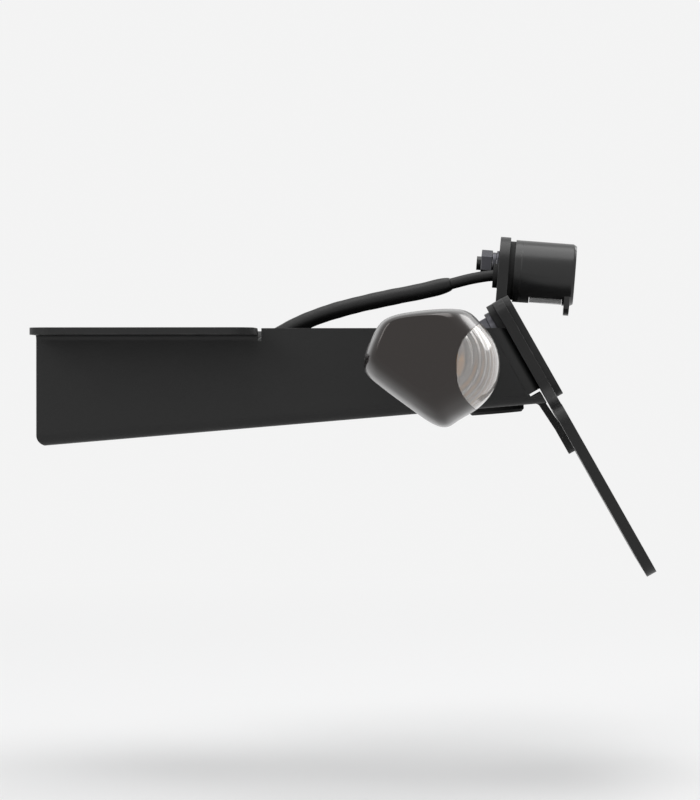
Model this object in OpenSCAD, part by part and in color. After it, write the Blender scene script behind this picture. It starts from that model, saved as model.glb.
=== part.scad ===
// Tail tidy for a motorbike: a folded steel arm that bolts up under the tail, an inclined
// number-plate carrier at its rear end, a small plate lamp with its lead, and two indicators.
// Millimetres. X points rearwards, Y to the bike's right, Z up. The origin is the centre of the
// four mounting holes, on the mounting face.

/* [Arm] */
// Outside width of the channel
arm_w = 60; // [56:1:70]
// Thickness of the arm's sheet
sheet_t = 2; // [1.5:0.25:2.5]
// Inside radius of the arm's folds
fold_r = 1.5; // [1:0.25:2]
// Reach of the channel ahead of the origin
arm_front = 32; // [31:1:45]
// Distance from the origin back to the inclined rear face, at the height of the mounting face
arm_rear = 101; // [98:1:125]
// Height of the channel at its front end
arm_h = 33.5; // [33:0.5:38]
// Rise of the channel's floor towards the rear, in degrees
floor_rise = 4.9; // [4:0.1:5.5]
// Lean of the rear face and of the number plate from the vertical, in degrees
plate_lean = 29.5; // [27:0.5:32]
// Distance of the tongue's edges from the arm's sides
tongue_in = 8; // [7:0.5:12]
// Reach of the tongue down the rear face
tongue_reach = 40; // [38:1:48]
// Length of the tongue's flat end, which lies on the carrier
tongue_pad = 8; // [5:0.5:10]
// Lean of the tongue beyond that of the rear face, in degrees
tongue_open = 4; // [2:0.5:8]

/* [Mounting flanges] */
// Width of each flange outside the channel
flange_w = 18; // [17:0.5:24]
// Spacing of the mounting holes along the bike
bolt_dx = 40; // [36:1:40]
// Distance of the mounting holes from the channel's side
bolt_out = 9; // [8.5:0.5:10]
// Diameter of the mounting holes
bolt_d = 6.5; // [5.5:0.1:7]
// Metal left beyond each mounting hole, along the bike
bolt_edge = 11; // [9:0.5:11]

/* [Plate carrier] */
// Thickness of the carrier's sheet
carrier_t = 3; // [2.5:0.25:4]
// Width of the number-plate field
field_w = 110; // [104:1:140]
// Height of the number-plate field down the slope
field_h = 53; // [50:1:70]
// Distance of the field's upper edge below the mounting face, down the slope
field_drop = 26; // [25.5:0.5:29]
// Inside radius of the carrier's fold
carrier_fold_r = 2.5; // [2:0.25:3]
// Distance of the fold above the upper screws, up the slope
fold_up = 4.4; // [4:0.1:5]
// Rearward lean of the lamp's upstand, in degrees
upstand_lean = 4.5; // [3:0.5:6]
// Spacing of the number-plate holes across the bike
plate_hole_dy = 70; // [66:1:76]
// Spacing of the number-plate holes down the slope
plate_hole_dz = 32; // [28:1:34]
// Diameter of the number-plate holes
plate_hole_d = 6.5; // [5:0.1:7]
// Length of the number-plate slots
plate_slot_l = 18; // [12:1:22]
// Thickness of the doubler on the rear of the neck
doubler_t = 2; // [2:0.25:2.5]
// Distance of the doubler's edges inside those of the neck
doubler_in = 2; // [1:0.5:4]

/* [Carrier screws] */
// Diameter of the screws that join carrier and arm
screw_d = 6; // [5:0.5:6]
// Diameter of their countersunk heads
screw_head_d = 12; // [11:0.5:12]
// Length of the screws
screw_l = 16; // [16:1:20]
// Distance of the screws from the arm's sides
screw_in = 11; // [10.5:0.25:11.5]
// Height of the lower screws above the channel's floor, up the slope
screw_low = 12.2; // [12:0.1:13]
// Distance between upper and lower screws
screw_gap = 12.5; // [12.2:0.1:12.6]
// Width across the flats of their nuts
nut_af = 10; // [8:0.5:10]
// Thickness of the hexagon of their nuts
nut_t = 5; // [4:0.25:5]

/* [Plate lamp] */
// Diameter of the lamp's body
lamp_d = 18; // [17:0.5:20]
// Length of the lamp, with its base
lamp_l = 17.6; // [16.5:0.2:22]
// Wall of the lamp's body
lamp_wall = 1.6; // [1.2:0.1:2]
// Thickness of the lamp's base
lamp_base_t = 2; // [1.6:0.2:2.4]
// Thickness of the rubber gasket under the lamp
gasket_t = 1.6; // [1:0.1:2.5]
// Height of the lamp's middle above the fold of the upstand
lamp_up = 10; // [10:0.5:13]
// Width of the window on the underside
window_w = 10.6; // [9:0.2:11]
// Length of the window on the underside
window_l = 9.6; // [8:0.2:10]
// Depth of the shade lip below the lamp's body
shade_drop = 2.8; // [2:0.2:3.4]
// Diameter of the lamp's stud
stud_d = 4; // [3:0.5:4]

/* [Lamp lead] */
// Diameter of the lead
lead_d = 3.2; // [2.6:0.1:3.4]
// Diameter of the sleeve on the lead
sleeve_d = 4.8; // [4.4:0.1:5]
// Bore of the sleeve
sleeve_bore = 3.5; // [3.5:0.1:3.7]

/* [Indicators] */
// Distance of the indicators behind the origin
ind_x = 83; // [60:1:84]
// Height of the indicators above the channel's floor
ind_low = 12.04; // [11.6:0.02:12.4]
// Length of the rubber stalk
stalk_l = 32; // [28:1:40]
// Length of the indicator's housing
housing_l = 70; // [60:1:80]
// Depth of the housing along the bike
housing_d = 35; // [32:0.5:36]
// Height of the housing
housing_h = 30.3; // [28:0.1:31]
// Wall of the indicator's housing and lens
shell_t = 1.8; // [1.5:0.1:2.2]
// Distance of the seam between housing and lens behind the stalk's middle
lens_x = 5.5; // [4.5:0.25:6.5]
// Diameter of the threaded stem
stem_d = 10; // [8:0.5:10]
// Bore of the stem
stem_bore = 5.5; // [4:0.5:6]
// Width across the flats of the stem's nut
stem_nut_af = 14; // [13:0.5:14]

/* [Hidden] */
$fn = 48;
LEFT = -1;
RIGHT = 1;
eps = 0.01;
far = 300;

// Folds of the arm
fold_out = fold_r + sheet_t;
half_w = arm_w / 2;
neck_w = arm_w;
doubler_w = neck_w - 2 * doubler_in;
tongue_w = arm_w - 2 * tongue_in;
flat_half = half_w - fold_out;
relief = 1;
fold_lap = 0.5;
flange_x0 = -arm_front;
flange_x1 = bolt_dx / 2 + bolt_edge;
flange_corner_r = 6;
front_corner_r = 3;
tongue_corner_r = 6;

// Screws, placed from the arm's sides and floor
ear_margin = 7.5;
screw_y = half_w - screw_in;
rear_h = arm_h - (arm_front + arm_rear) * tan(floor_rise);
ind_drop = arm_h - (arm_front + ind_x) * tan(floor_rise) - ind_low;
floor_reach = rear_h / (cos(plate_lean) + sin(plate_lean) * tan(floor_rise));
screw_rows = [screw_low - floor_reach + screw_gap, screw_low - floor_reach];
neck_rise = screw_rows[0] + ear_margin;
upstand_start = screw_rows[0] + fold_up;

// Ears at the rear of the arm
ear_in = screw_y - ear_margin;
ear_top = neck_rise;
ear_bottom = screw_rows[1] - ear_margin;
ear_corner_r = 3;
rear_gap = 0.4;
rear_touch = 0.02;

// The fold between floor and tongue, seen from the side: normals of floor, tongue and rear face,
// the point where the tongue comes to lie on the rear face, and the fold's centre
floor_normal = [sin(floor_rise), -cos(floor_rise)];
rear_normal = [cos(plate_lean), sin(plate_lean)];
slope_up = [-sin(plate_lean), cos(plate_lean)];
tongue_lean = plate_lean + tongue_open;
tongue_normal = [cos(tongue_lean), sin(tongue_lean)];
tongue_kink = [arm_rear, 0] - (tongue_reach - tongue_pad) * slope_up - rear_touch * rear_normal;
floor_offset = fold_r - sin(floor_rise) * arm_front + cos(floor_rise) * arm_h;
tongue_offset = tongue_kink * tongue_normal - fold_out;
fold_det = cos(tongue_lean - floor_rise);
tongue_fold = [
    (floor_offset * tongue_normal.y - tongue_offset * floor_normal.y) / fold_det,
    (floor_normal.x * tongue_offset - tongue_normal.x * floor_offset) / fold_det
];
floor_dir = [cos(floor_rise), sin(floor_rise)];
fold_u = (tongue_fold + [arm_front, arm_h]) * floor_dir;

// Carrier
field_corner_r = 6;
field_fillet_r = 8;
neck_corner_r = 4;
tab_root_w = 2 * screw_y - screw_head_d - 5;
tab_root_h = 2;
upstand_fold_out = carrier_fold_r + carrier_t;
upstand_fold = [arm_rear, 0] + upstand_start * slope_up + upstand_fold_out * rear_normal;
tab_r = lamp_d / 2 + 0.6;
plate_hole_z0 = -(field_drop + field_h / 2);
doubler_bottom = -(field_drop - 2);
doubler_notch_w = tab_root_w + 5;
doubler_notch_z = upstand_start - 2;
doubler_corner_r = 4;

// Carrier screws
screw_hole_d = screw_d + 0.6;
csk_clear = 0.1;
washer_t = 1.6;
washer_d = 2 * screw_d;
washer_hole_d = screw_d + 0.4;
nut_collar_t = 1.2;
nut_collar_d = nut_af - 1.6;
hex_key_af = 4;
hex_key_depth = 2.2;

// Lamp, along its own axis from the rear face of the upstand
lamp_r = lamp_d / 2;
base_x = gasket_t;
body_x = base_x + lamp_base_t;
lamp_end = base_x + lamp_l;
end_wall = 1.8;
end_chamfer = 1;
spigot_l = 1.6;
spigot_clear = 0.15;
bore_r = lamp_r - lamp_wall;
window_x = body_x + spigot_l + 1.2;
window_clear = 0.15;
window_floor = bore_r - 1.5;
lip_t = 1.6;
lens_flange = 0.9;
board_z = 1;
board_t = 1.2;
board_gap = 0.3;
board_l = window_l + 1.6;
chip = [3.2, 3.2, 1.1];
stud_y = 1.5;
stud_z = 1.5;
exit_y = -5.5;
exit_z = -2;
lamp_washer_t = 0.8;
lamp_washer_d = 2 * stud_d;
spring_washer_t = 1.2;
spring_washer_d = stud_d + 3;
lamp_nut_af = stud_d + 3;
lamp_nut_t = 3.2;
stud_end = carrier_t + lamp_washer_t + spring_washer_t + lamp_nut_t + 1.3;
grommet_hole_d = lead_d + 1.8;
grommet_flange_t = 1.4;
grommet_flange_d = grommet_hole_d + 2;
lead_clear = 0.1;

// Route of the lead: out of the upstand, over the arm, down into the channel, along its floor
lead_route = [
    [101, -5.5, 15.2], [97, -5.5, 15.5], [91, -5.5, 14.6], [85, -5.5, 13.1], [77, -5.6, 11.1],
    [67, -5.8, 9.1], [58, -6, 7.1], [50, -6.3, 4.9], [43, -6.6, 2.3], [36, -7, -1.2],
    [29, -7.3, -6], [22, -7.6, -12], [15, -7.8, -18], [8.5, -8, -22.4], [2, -8, -24.5],
    [-5, -8, -25.1], [-10, -8, -25.5], [-15, -8, -25.9]
];
sleeve_first = 3;
sleeve_last = 16;
clip_x = -3.5;
clip_y = -8;
clip_l = 8;
clip_w = 13;
clip_base_t = 1.5;
clip_wall = 1.2;
clip_slit = 1.2;
clip_bore_r = sleeve_d / 2 + 0.15;
clip_rise = clip_base_t + clip_bore_r;
connector_x = -21;
connector_l = 17;
connector_w = 10;
connector_h = 8;
connector_wall = 1.2;
connector_web = 4;
latch = [5, 3, 1.1];
pin_d = 1.5;
pin_l = 8;
pin_gap = 3.8;

// Blanking grommet in the floor
plug_x = 98;
plug_hole_d = 12;
plug_flange_d = 16;
plug_flange_t = 2;
plug_top_t = 1.4;
plug_chamfer = 0.8;
plug_dish = 1;
plug_clear = 0.05;

// Indicators, from the outer face of the channel's side outwards
stem_in = 12;
stem_out = 18;
stem_hole_d = stem_d + 0.5;
stem_washer_t = 1.6;
stem_washer_d = stem_d + 7;
stem_nut_t = 5.6;
stalk_foot_r = stem_washer_d / 2;
stalk_ribs = 5;
rib_r = 8;
groove_r = 6.6;
waist_y = 5;
waist_l = 20;
stalk_neck_r = 4.5;
stalk_neck_l = 4;
housing_y = stalk_l - 2;
// Section of the housing as drawn, seen from outside, X rearwards and Z up from the stalk's middle
drawn = [
    [-18.2, 1], [-16.4, 6.8], [-12.8, 12.4], [-5, 14.6], [7, 15.1], [12, 11.6], [15.6, 6.4],
    [16.8, 0.6], [15.4, -5.4], [11.6, -10], [6.6, -13.2], [3, -15.2], [-1, -14],
    [-7, -9.8], [-13, -5.4], [-16.8, -2.2]
];
drawn_x = [for (p = drawn) p.x];
drawn_z = [for (p = drawn) p.y];
fit_x = housing_d / (max(drawn_x) - min(drawn_x));
fit_z = housing_h / (max(drawn_z) - min(drawn_z));
section = [for (p = drawn) [fit_x * p.x, fit_z * p.y]];
section_steps = 2;
// Stations along the housing: share of its length, scale of the section, shift rearwards, lift
stations = [
    [0, 0.6, -0.5, 0], [0.07, 0.7, -0.4, 0], [0.2, 0.86, -0.2, 0], [0.38, 0.96, 0, 0],
    [0.56, 1, 0, 0], [0.78, 0.99, 0, 0.1], [0.88, 0.94, -0.3, 0.6], [0.94, 0.86, -0.9, 1.5],
    [0.98, 0.76, -1.6, 2.5], [1, 0.64, -2.4, 3.6]
];
lens_rim = 2;
bulb_y = 0.56 * housing_l;
bulb_z = 0.5;
bulb_r = 4.4;
bulb_l = 9;
bulb_clear = 0.2;
reflector_x = lens_x - 2.4;
reflector_t = 9;
bowl_r = 9.5;
bowl_l = 50;
bowl_back = 1;

// Shapes that repeat

function last(v) = v[len(v) - 1];

// Points along a bend, a few degrees apart
function arc_points(centre, r, a0, a1) =
    let (n = ceil(abs(a1 - a0) / 5))
    [for (i = [0 : n]) let (a = a0 + (a1 - a0) * i / n) centre + r * [cos(a), sin(a)]];

module along_y(width) {
    translate([0, width / 2, 0]) rotate([90, 0, 0]) linear_extrude(width) children();
}

module facing_rear(depth) {
    rotate([90, 0, 90]) linear_extrude(depth) children();
}

module rear_frame() {
    translate([arm_rear, 0, 0]) rotate([0, -plate_lean, 0]) children();
}

module floor_frame(x) {
    floor_z = -arm_h + (x + arm_front) * tan(floor_rise);
    translate([x, 0, floor_z]) rotate([0, -floor_rise, 0]) children();
}

module upstand_frame() {
    translate([upstand_fold.x, 0, upstand_fold.y]) rotate([0, upstand_lean, 0]) children();
}

module lamp_frame() {
    upstand_frame() translate([-carrier_fold_r, 0, lamp_up]) children();
}

module rounded_rect(w, h, r) {
    square([w - 2 * r, h], center = true);
    square([w, h - 2 * r], center = true);
    for (sx = [-1, 1], sy = [-1, 1])
        translate([sx * (w / 2 - r), sy * (h / 2 - r)]) circle(r);
}

module slot_2d(l, d) {
    square([l - d, d], center = true);
    for (s = [-1, 1]) translate([s * (l - d) / 2, 0]) circle(d / 2);
}

// Sector of a bent sheet between two directions, in degrees, less than half a turn apart
module fold_sector(r_in, t, a0, a1) {
    reach = 4 * (r_in + t);
    mid = (a0 + a1) / 2;
    intersection() {
        difference() {
            circle(r_in + t);
            circle(r_in);
        }
        polygon([
            [0, 0], reach * [cos(a0), sin(a0)], reach * [cos(mid), sin(mid)],
            reach * [cos(a1), sin(a1)]
        ]);
    }
}

module hex_prism(af, h) {
    cylinder(d = af / cos(30), h = h, $fn = 6);
}

module ring(r_out, r_in, h) {
    difference() {
        cylinder(r = r_out, h = h);
        translate([0, 0, -1]) cylinder(r = r_in, h = h + 2);
    }
}

module pointing_rear() {
    rotate([0, 90, 0]) children();
}

function catmull(a, b, c, d, t) =
    0.5 * (2 * b + (c - a) * t + (2 * a - 5 * b + 4 * c - d) * t * t
        + (3 * b - a - 3 * c + d) * t * t * t);

function smooth_loop(pts, steps) =
    let (n = len(pts))
    [
        for (i = [0 : n - 1]) for (j = [0 : steps - 1])
            catmull(pts[(i + n - 1) % n], pts[i], pts[(i + 1) % n], pts[(i + 2) % n], j / steps)
    ];

// Skin over rings of equally many points, closed at both ends
module skin(rings) {
    n = len(rings[0]);
    m = len(rings);
    points = [for (r = rings) for (p = r) p];
    sides = [
        for (i = [0 : m - 2]) for (j = [0 : n - 1])
            let (a = i * n + j, b = i * n + (j + 1) % n, c = a + n, d = b + n)
            each [[a, d, b], [a, c, d]]
    ];
    near_end = [for (j = [0 : n - 1]) j];
    far_end = [for (j = [n - 1 : -1 : 0]) (m - 1) * n + j];
    polyhedron(points = points, faces = concat(sides, [near_end, far_end]), convexity = 6);
}

function unit(v) = v / norm(v);

function route_ring(pts, i, r, sides) =
    let (
        before = pts[max(i - 1, 0)],
        after = pts[min(i + 1, len(pts) - 1)],
        t = unit(after - before),
        u = unit(cross([0, 1, 0], t)),
        v = cross(t, u)
    )
    [for (k = [0 : sides - 1]) pts[i] + r * (cos(360 * k / sides) * u + sin(360 * k / sides) * v)];

module route_rod(pts, r, sides) {
    skin([for (i = [0 : len(pts) - 1]) route_ring(pts, i, r, sides)]);
}

// Tube along part of the route: its rings run out along the outside and back along the bore
module route_tube(pts, i0, i1, r_out, r_in, sides) {
    rings = [
        for (i = [i0 : i1]) route_ring(pts, i, r_out, sides),
        for (i = [i1 : -1 : i0]) route_ring(pts, i, r_in, sides)
    ];
    m = len(rings);
    points = [for (r = rings) each r];
    faces = [
        for (i = [0 : m - 1]) for (j = [0 : sides - 1])
            let (
                a = i * sides + j, b = i * sides + (j + 1) % sides,
                c = (a + sides) % (m * sides), d = (b + sides) % (m * sides)
            )
            each [[a, d, b], [a, c, d]]
    ];
    polyhedron(points = points, faces = faces, convexity = 6);
}

// Arm

module channel_section() {
    translate([-flat_half, 0]) square([2 * flat_half, sheet_t]);
    for (s = [-1, 1]) mirror([s < 0 ? 1 : 0, 0]) {
        translate([flat_half, fold_out]) fold_sector(fold_r, sheet_t, -90, 0);
        translate([half_w - sheet_t, fold_out]) square([sheet_t, 2 * arm_h]);
    }
}

module channel_trough() {
    intersection() {
        floor_frame(-arm_front) translate([-arm_h, 0, 0]) facing_rear(far) channel_section();
        along_y(arm_w + 2) arm_side();
    }
}

// Outline of the side: upright front edge with a rounded lower corner, inclined rear edge
module arm_side() {
    low = 2 * arm_h;
    difference() {
        polygon([
            [-arm_front, -low], [-arm_front, 0], [arm_rear - rear_gap, 0],
            [arm_rear - rear_gap + low * tan(plate_lean), -low]
        ]);
        translate([-arm_front, -arm_h]) difference() {
            translate([-1, -1]) square(front_corner_r + 1);
            translate([front_corner_r, front_corner_r]) circle(front_corner_r);
        }
    }
}

module flange(s) {
    length = flange_x1 - flange_x0;
    mirror([0, s < 0 ? 1 : 0, 0]) {
        translate([flange_x0, 0, 0]) facing_rear(length)
            translate([half_w + fold_r, -fold_out]) fold_sector(fold_r, sheet_t, 90, 180);
        translate([0, 0, -sheet_t]) linear_extrude(sheet_t) difference() {
            translate([flange_x0, half_w + fold_r]) square([length, flange_w - fold_r]);
            for (x = [flange_x0, flange_x1]) translate([x, half_w + flange_w]) rounding(
                flange_corner_r, x < 0 ? 1 : -1, -1);
            for (sx = [-1, 1]) translate([sx * bolt_dx / 2, half_w + bolt_out]) circle(d = bolt_d);
        }
    }
}

// What a rounded corner takes off: the corner lies at the origin, the metal towards sx and sy
module rounding(r, sx, sy) {
    difference() {
        translate([sx < 0 ? -r : -1, sy < 0 ? -r : -1]) square(r + 1);
        translate([sx * r, sy * r]) circle(r);
    }
}

module ear(s) {
    mirror([0, s < 0 ? 1 : 0, 0]) rear_frame() {
        intersection() {
            translate([0, 0, ear_bottom]) linear_extrude(ear_top - ear_bottom)
                translate([-fold_out, flat_half]) {
                    fold_sector(fold_r, sheet_t, 0, 90);
                    translate([-fold_lap, fold_r]) square([fold_lap, sheet_t]);
                    translate([fold_r, -fold_lap]) square([sheet_t, fold_lap]);
                }
            rotate([0, plate_lean, 0]) translate([-far, -far, -far]) cube([2 * far, 2 * far, far]);
        }
        translate([-sheet_t, 0, 0]) facing_rear(sheet_t) difference() {
            translate([ear_in, ear_bottom]) square([flat_half - ear_in, ear_top - ear_bottom]);
            translate([ear_in, ear_top]) rounding(ear_corner_r, 1, -1);
            translate([flat_half, ear_top]) rounding(ear_corner_r, -1, -1);
            translate([ear_in, ear_bottom]) rounding(ear_corner_r, 1, 1);
            for (z = screw_rows) translate([screw_y, z]) circle(d = screw_hole_d);
        }
    }
}

// A point of the side view, as seen along the floor from the channel's front end
function along_floor(p) =
    let (q = p + [arm_front, arm_h]) [q * floor_dir, -q * floor_normal];

// Side view of floor and tongue: the fold, the open stretch, and the end flat on the carrier
module tongue_profile() {
    bend = tongue_lean - floor_rise;
    centre = [fold_u, -fold_r];
    back = arc_points(centre, fold_out, 90, bend);
    front = arc_points(centre, fold_r, bend, 90);
    inner_kink = tongue_kink
        - sheet_t * (rear_normal + tongue_normal) / (1 + rear_normal * tongue_normal);
    lap = [tongue_w / 2, 0];
    polygon(concat(
        [centre + [0, fold_out] - lap], back,
        [for (p = [
            tongue_kink, tongue_kink - tongue_pad * slope_up,
            tongue_kink - tongue_pad * slope_up - sheet_t * rear_normal, inner_kink
        ]) along_floor(p)],
        front, [centre + [0, fold_r] - lap]
    ));
}

module plug_cut() {
    floor_frame(plug_x) translate([0, 0, -1]) cylinder(d = plug_hole_d, h = sheet_t + 2);
}

module tongue() {
    difference() {
        floor_frame(-arm_front) along_y(tongue_w) tongue_profile();
        plug_cut();
        rear_frame() translate([-far / 2, 0, 0]) facing_rear(far) for (s = [-1, 1])
            translate([s * tongue_w / 2, -tongue_reach]) rounding(tongue_corner_r, -s, 1);
    }
}

// What is cut from the trough where the flanges, the ears and the tongue leave it
module trough_cuts() {
    translate([flange_x0 - 1, -arm_w, -fold_out])
        cube([flange_x1 - flange_x0 + 1 + relief, 2 * arm_w, far]);
    rear_frame() translate([-fold_out, -arm_w, ear_bottom - relief]) cube([far, 2 * arm_w, far]);
    floor_frame(-arm_front) translate([fold_u, -tongue_w / 2 - relief, -far / 2])
        cube([far, tongue_w + 2 * relief, far]);
    plug_cut();
    translate([ind_x, 0, -ind_drop]) rotate([90, 0, 0])
        cylinder(d = stem_hole_d, h = 2 * arm_w, center = true);
}

module main_bracket() {
    color("#2b2b2a") {
        difference() {
            channel_trough();
            trough_cuts();
        }
        for (s = [LEFT, RIGHT]) {
            flange(s);
            ear(s);
        }
        tongue();
    }
}

// Carrier

module carrier_outline() {
    difference() {
        union() {
            translate([0, plate_hole_z0]) rounded_rect(field_w, field_h, field_corner_r);
            translate([-neck_w / 2, -field_drop - 1])
                square([neck_w, field_drop + 1 + neck_rise]);
            for (s = [-1, 1]) translate([s * neck_w / 2, -field_drop])
                mirror([s < 0 ? 1 : 0, 0]) difference() {
                    translate([-1, -1]) square(field_fillet_r + 1);
                    translate([field_fillet_r, field_fillet_r]) circle(field_fillet_r);
                }
        }
        for (s = [-1, 1]) translate([s * neck_w / 2, neck_rise]) rounding(neck_corner_r, -s, -1);
        translate([-tab_root_w / 2 - relief, upstand_start - tab_root_h])
            square([tab_root_w + 2 * relief, neck_rise]);
        for (s = [-1, 1], row = [-1, 1])
            translate([s * plate_hole_dy / 2, plate_hole_z0 + row * plate_hole_dz / 2])
                circle(d = plate_hole_d);
        for (s = [-1, 1]) translate([s * plate_hole_dy / 2, plate_hole_z0])
            slot_2d(plate_slot_l, plate_hole_d);
    }
}

module upstand_outline() {
    difference() {
        union() {
            polygon([
                [-tab_root_w / 2, 0], [tab_root_w / 2, 0], [tab_r, lamp_up], [-tab_r, lamp_up]
            ]);
            translate([0, lamp_up]) circle(tab_r);
        }
        translate([stud_y, lamp_up + stud_z]) circle(d = stud_d + 0.4);
        translate([exit_y, lamp_up + exit_z]) circle(d = grommet_hole_d);
    }
}

module screw_cuts() {
    for (s = [LEFT, RIGHT], z = screw_rows)
        translate([carrier_t + doubler_t, s * screw_y, z]) rotate([0, -90, 0]) {
            translate([0, 0, -1]) cylinder(d = screw_hole_d, h = screw_l);
            translate([0, 0, -eps]) cylinder(
                d1 = screw_head_d + csk_clear + 2 * eps, d2 = screw_d + csk_clear,
                h = (screw_head_d - screw_d) / 2 + eps);
        }
}

module plate_carrier() {
    color("#222222") {
        rear_frame() difference() {
            facing_rear(carrier_t) carrier_outline();
            screw_cuts();
        }
        difference() {
            rear_frame() along_y(tab_root_w) upstand_profile();
            upstand_frame() translate([-far / 2, 0, 0]) facing_rear(far) difference() {
                translate([-far / 2, 0]) square([far, far]);
                upstand_outline();
            }
        }
    }
}

// Side view of the upstand and its fold, from a lap on the neck
module upstand_profile() {
    bend = 180 - plate_lean - upstand_lean;
    up = [sin(plate_lean + upstand_lean), cos(plate_lean + upstand_lean)];
    centre = [upstand_fold_out, upstand_start];
    front = arc_points(centre, upstand_fold_out, 180, bend);
    rear = arc_points(centre, carrier_fold_r, bend, 180);
    reach = lamp_up + tab_r + 1;
    lap = [0, tab_root_w / 2];
    polygon(concat(
        [[0, upstand_start] - lap], front, [last(front) + reach * up],
        [rear[0] + reach * up], rear, [[carrier_t, upstand_start] - lap]
    ));
}

module rear_doubler() {
    color("#262626") rear_frame() difference() {
        translate([carrier_t, 0, 0]) facing_rear(doubler_t) difference() {
            translate([-doubler_w / 2, doubler_bottom])
                square([doubler_w, neck_rise - doubler_bottom]);
            for (s = [-1, 1]) {
                translate([s * doubler_w / 2, neck_rise]) rounding(doubler_corner_r, -s, -1);
                translate([s * doubler_w / 2, doubler_bottom]) rounding(doubler_corner_r, -s, 1);
            }
            translate([-doubler_notch_w / 2, doubler_notch_z])
                square([doubler_notch_w, neck_rise]);
        }
        screw_cuts();
    }
}

module at_screws() {
    rear_frame() for (s = [LEFT, RIGHT], z = screw_rows)
        translate([carrier_t + doubler_t, s * screw_y, z]) rotate([0, -90, 0]) children();
}

module carrier_screws() {
    head_h = (screw_head_d - screw_d) / 2;
    color("#303132") at_screws() difference() {
        union() {
            cylinder(d1 = screw_head_d, d2 = screw_d, h = head_h);
            cylinder(d = screw_d, h = screw_l);
        }
        translate([0, 0, -1]) hex_prism(hex_key_af, 1 + hex_key_depth);
    }
}

module carrier_washers() {
    color("#2e2f30") at_screws() translate([0, 0, doubler_t + carrier_t + sheet_t])
        ring(washer_d / 2, washer_hole_d / 2, washer_t);
}

module carrier_nuts() {
    seat = doubler_t + carrier_t + sheet_t + washer_t;
    color("#323334") at_screws() translate([0, 0, seat]) difference() {
        union() {
            rotate([0, 0, 30]) hex_prism(nut_af, nut_t);
            translate([0, 0, nut_t / 2]) cylinder(d = nut_collar_d, h = nut_t / 2 + nut_collar_t);
        }
        translate([0, 0, -1]) cylinder(d = screw_d, h = nut_t + nut_collar_t + 2);
    }
}

// Plate lamp

module at_stud() {
    translate([0, stud_y, stud_z]) children();
}

module at_exit() {
    translate([0, exit_y, exit_z]) children();
}

module lamp_gasket() {
    color("#1a1a1a") lamp_frame() difference() {
        pointing_rear() cylinder(r = lamp_r - 0.5, h = gasket_t);
        at_stud() translate([-1, 0, 0]) pointing_rear() cylinder(d = stud_d + 0.2, h = gasket_t + 2);
        at_exit() translate([-1, 0, 0]) pointing_rear()
            cylinder(d = lead_d + 2 * lead_clear, h = gasket_t + 2);
    }
}

module lamp_base() {
    color("#232323") lamp_frame() difference() {
        union() {
            translate([base_x, 0, 0]) pointing_rear() cylinder(r = lamp_r, h = lamp_base_t);
            translate([body_x, 0, 0]) pointing_rear()
                cylinder(r = bore_r - spigot_clear, h = spigot_l);
            translate([-stud_end, stud_y, stud_z]) pointing_rear()
                cylinder(d = stud_d, h = stud_end + base_x + eps);
        }
        at_exit() pointing_rear() cylinder(d = lead_d + 2 * lead_clear, h = lamp_l);
    }
}

module window_block(shrink, r) {
    intersection() {
        translate([window_x + shrink, 0, 0]) pointing_rear()
            cylinder(r = r, h = window_l - 2 * shrink);
        translate([window_x, -window_w / 2 + shrink, -far])
            cube([window_l, window_w - 2 * shrink, far - window_floor + (shrink > 0 ? 0 : 2)]);
    }
}

module lamp_housing() {
    color("#2a2a28") lamp_frame() {
        difference() {
            translate([body_x, 0, 0]) pointing_rear() union() {
                cylinder(r = lamp_r, h = lamp_end - body_x - end_chamfer);
                translate([0, 0, lamp_end - body_x - end_chamfer])
                    cylinder(r1 = lamp_r, r2 = lamp_r - 0.6 * end_chamfer, h = end_chamfer);
            }
            translate([body_x - 1, 0, 0]) pointing_rear()
                cylinder(r = bore_r, h = lamp_end - body_x - end_wall + 1);
            window_block(0, lamp_r + 1);
        }
        shade_lip();
    }
}

module shade_lip() {
    intersection() {
        translate([lamp_end - end_chamfer - lip_t, 0, 0]) pointing_rear()
            ring(lamp_r + shade_drop, lamp_r - 0.8, lip_t);
        translate([0, -window_w / 2 - 1, -far]) cube([far, window_w + 2, far - lamp_r * 0.7]);
    }
}

module lamp_lens() {
    color("#d8dadb", 0.6) lamp_frame() {
        window_block(window_clear, lamp_r - 0.2);
        intersection() {
            translate([window_x - lens_flange, 0, 0]) pointing_rear()
                cylinder(r = bore_r - 0.05, h = window_l + 2 * lens_flange);
            translate([0, -window_w / 2, -bore_r]) cube([far, window_w, bore_r - window_floor]);
        }
    }
}

module lamp_led_board() {
    half = sqrt(bore_r * bore_r - (board_z + board_t) * (board_z + board_t)) - 0.1;
    color("#3d6b45") lamp_frame() translate([body_x + spigot_l + board_gap, 0, board_z]) {
        translate([0, -half, 0]) cube([board_l, 2 * half, board_t]);
        for (share = [0.3, 0.7])
            translate([share * board_l - chip.x / 2, -chip.y / 2, -chip.z])
                cube(chip + [0, 0, eps]);
    }
}

module lamp_washer() {
    color("#2f3031") lamp_frame() at_stud()
        translate([-carrier_t - lamp_washer_t, 0, 0]) pointing_rear()
            ring(lamp_washer_d / 2, stud_d / 2 + 0.15, lamp_washer_t);
}

module lamp_spring_washer() {
    seat = carrier_t + lamp_washer_t + spring_washer_t;
    color("#2b2c2d") lamp_frame() at_stud() translate([-seat, 0, 0]) difference() {
        pointing_rear() ring(spring_washer_d / 2, stud_d / 2 + 0.15, spring_washer_t);
        translate([-1, -0.5, 0]) cube([spring_washer_t + 2, 1, spring_washer_d]);
    }
}

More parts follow.
